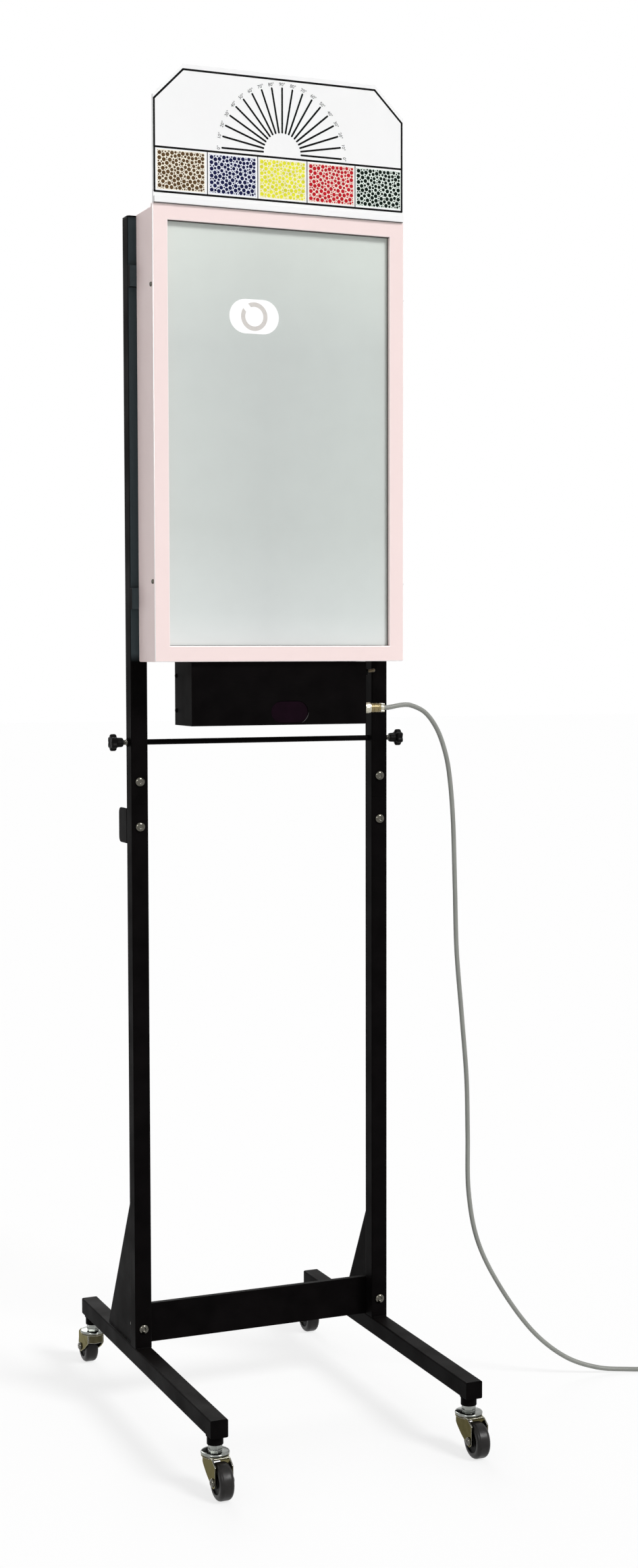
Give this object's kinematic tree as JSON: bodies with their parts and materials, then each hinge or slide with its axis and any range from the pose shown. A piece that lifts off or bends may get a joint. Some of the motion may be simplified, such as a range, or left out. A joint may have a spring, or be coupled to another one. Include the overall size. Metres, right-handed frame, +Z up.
{
  "type": "vision tester",
  "caption": "Lit eye-test box with a dial panel above and a control box below, on a tall square-tube stand with swivel casters and a cord.",
  "frame": {"origin": "on the floor, midway between the casters", "axes": "+Z up, the lit front faces -Y, the cord leaves at +X"},
  "size_m": [1.103, 0.658, 1.9308],
  "materials": {
    "black_paint": "satin black powder coat",
    "black_plastic": "matt black",
    "bright_steel": "bright zinc plate",
    "chrome": "polished chrome plate",
    "wheel_rubber": "dark matt",
    "pink_paint": "pale pink powder coat",
    "frosted_screen": "frosted, pale grey-green",
    "white_board": "printed white board",
    "white_plastic": "matt white",
    "circuit_board": "green board",
    "dark_window": "dark clear lens",
    "nickel": "nickel-plated brass",
    "cord_vinyl": "grey flexible sheath",
    "tie_nylon": "black nylon strap"
  },
  "bodies": {
    "stand": {"left_foot_rail": "black_paint", "left_lower_post": "black_paint", "left_upper_post": "black_paint", "left_post_splice": "bright_steel", "left_post_cap": "black_plastic", "left_gusset": "black_paint", "left_upper_bolt": "bright_steel", "left_lower_bolt": "bright_steel", "left_cross_bolt": "bright_steel", "right_foot_rail": "black_paint", "right_lower_post": "black_paint", "right_upper_post": "black_paint", "right_post_splice": "bright_steel", "right_post_cap": "black_plastic", "right_gusset": "black_paint", "right_upper_bolt": "bright_steel", "right_lower_bolt": "bright_steel", "right_cross_bolt": "bright_steel", "cross_plate": "black_paint", "tie_rod": "black_paint", "rear_bracket": "black_paint", "front_left_caster_stem": "chrome", "front_right_caster_stem": "chrome", "rear_left_caster_stem": "chrome", "rear_right_caster_stem": "chrome", "front_bezel": "pink_paint", "light_box_tray": "pink_paint", "screen": "frosted_screen", "light_baffle": "white_plastic", "lamp_board": "circuit_board", "lower_mount_bar": "black_paint", "upper_mount_bar": "black_paint", "dial_panel": "white_board", "panel_foot": "white_board", "control_case": "black_paint", "control_cover": "black_paint", "receiver_window": "dark_window", "control_board": "circuit_board", "toggle_switch": "bright_steel", "connector_socket": "nickel", "connector_plug": "nickel", "power_cord": "cord_vinyl", "cord_coil": "cord_vinyl", "coil_tie": "tie_nylon", "mains_plug": "black_plastic"},
    "front_left_fork": {"front_left_caster_fork": "chrome", "front_left_caster_axle": "bright_steel"},
    "front_left_wheel": {"front_left_caster_wheel": "wheel_rubber"},
    "front_right_fork": {"front_right_caster_fork": "chrome", "front_right_caster_axle": "bright_steel"},
    "front_right_wheel": {"front_right_caster_wheel": "wheel_rubber"},
    "rear_left_fork": {"rear_left_caster_fork": "chrome", "rear_left_caster_axle": "bright_steel"},
    "rear_left_wheel": {"rear_left_caster_wheel": "wheel_rubber"},
    "rear_right_fork": {"rear_right_caster_fork": "chrome", "rear_right_caster_axle": "bright_steel"},
    "rear_right_wheel": {"rear_right_caster_wheel": "wheel_rubber"},
    "left_knob": {"left_knob": "black_plastic"},
    "right_knob": {"right_knob": "black_plastic"},
    "toggle_lever": {"toggle_lever": "bright_steel"}
  },
  "joints": [
    {"name": "front_left_swivel", "type": "hinge", "parent": "stand", "child": "front_left_fork", "pos_m": [-0.189, -0.278, 0.055], "axis": [0, 0, 1], "continuous": true},
    {"name": "front_left_roll", "type": "hinge", "parent": "front_left_fork", "child": "front_left_wheel", "pos_m": [-0.189, -0.304, 0.025], "axis": [1, 0, 0], "continuous": true},
    {"name": "front_right_swivel", "type": "hinge", "parent": "stand", "child": "front_right_fork", "pos_m": [0.189, -0.278, 0.055], "axis": [0, 0, 1], "continuous": true},
    {"name": "front_right_roll", "type": "hinge", "parent": "front_right_fork", "child": "front_right_wheel", "pos_m": [0.189, -0.304, 0.025], "axis": [1, 0, 0], "continuous": true},
    {"name": "rear_left_swivel", "type": "hinge", "parent": "stand", "child": "rear_left_fork", "pos_m": [-0.189, 0.278, 0.055], "axis": [0, 0, 1], "continuous": true},
    {"name": "rear_left_roll", "type": "hinge", "parent": "rear_left_fork", "child": "rear_left_wheel", "pos_m": [-0.189, 0.304, 0.025], "axis": [1, 0, 0], "continuous": true},
    {"name": "rear_right_swivel", "type": "hinge", "parent": "stand", "child": "rear_right_fork", "pos_m": [0.189, 0.278, 0.055], "axis": [0, 0, 1], "continuous": true},
    {"name": "rear_right_roll", "type": "hinge", "parent": "rear_right_fork", "child": "rear_right_wheel", "pos_m": [0.189, 0.304, 0.025], "axis": [1, 0, 0], "continuous": true},
    {"name": "left_knob_turn", "type": "hinge", "parent": "stand", "child": "left_knob", "pos_m": [-0.2106, 0.035, 0.9905], "axis": [-1, 0, 0], "range_deg": [0, 720]},
    {"name": "right_knob_turn", "type": "hinge", "parent": "stand", "child": "right_knob", "pos_m": [0.2106, 0.035, 0.9905], "axis": [1, 0, 0], "range_deg": [0, 720]},
    {"name": "toggle_throw", "type": "hinge", "parent": "stand", "child": "toggle_lever", "pos_m": [0.14, -0.033, 1.0904], "axis": [0, 1, 0], "range_deg": [0, 18]}
  ]
}
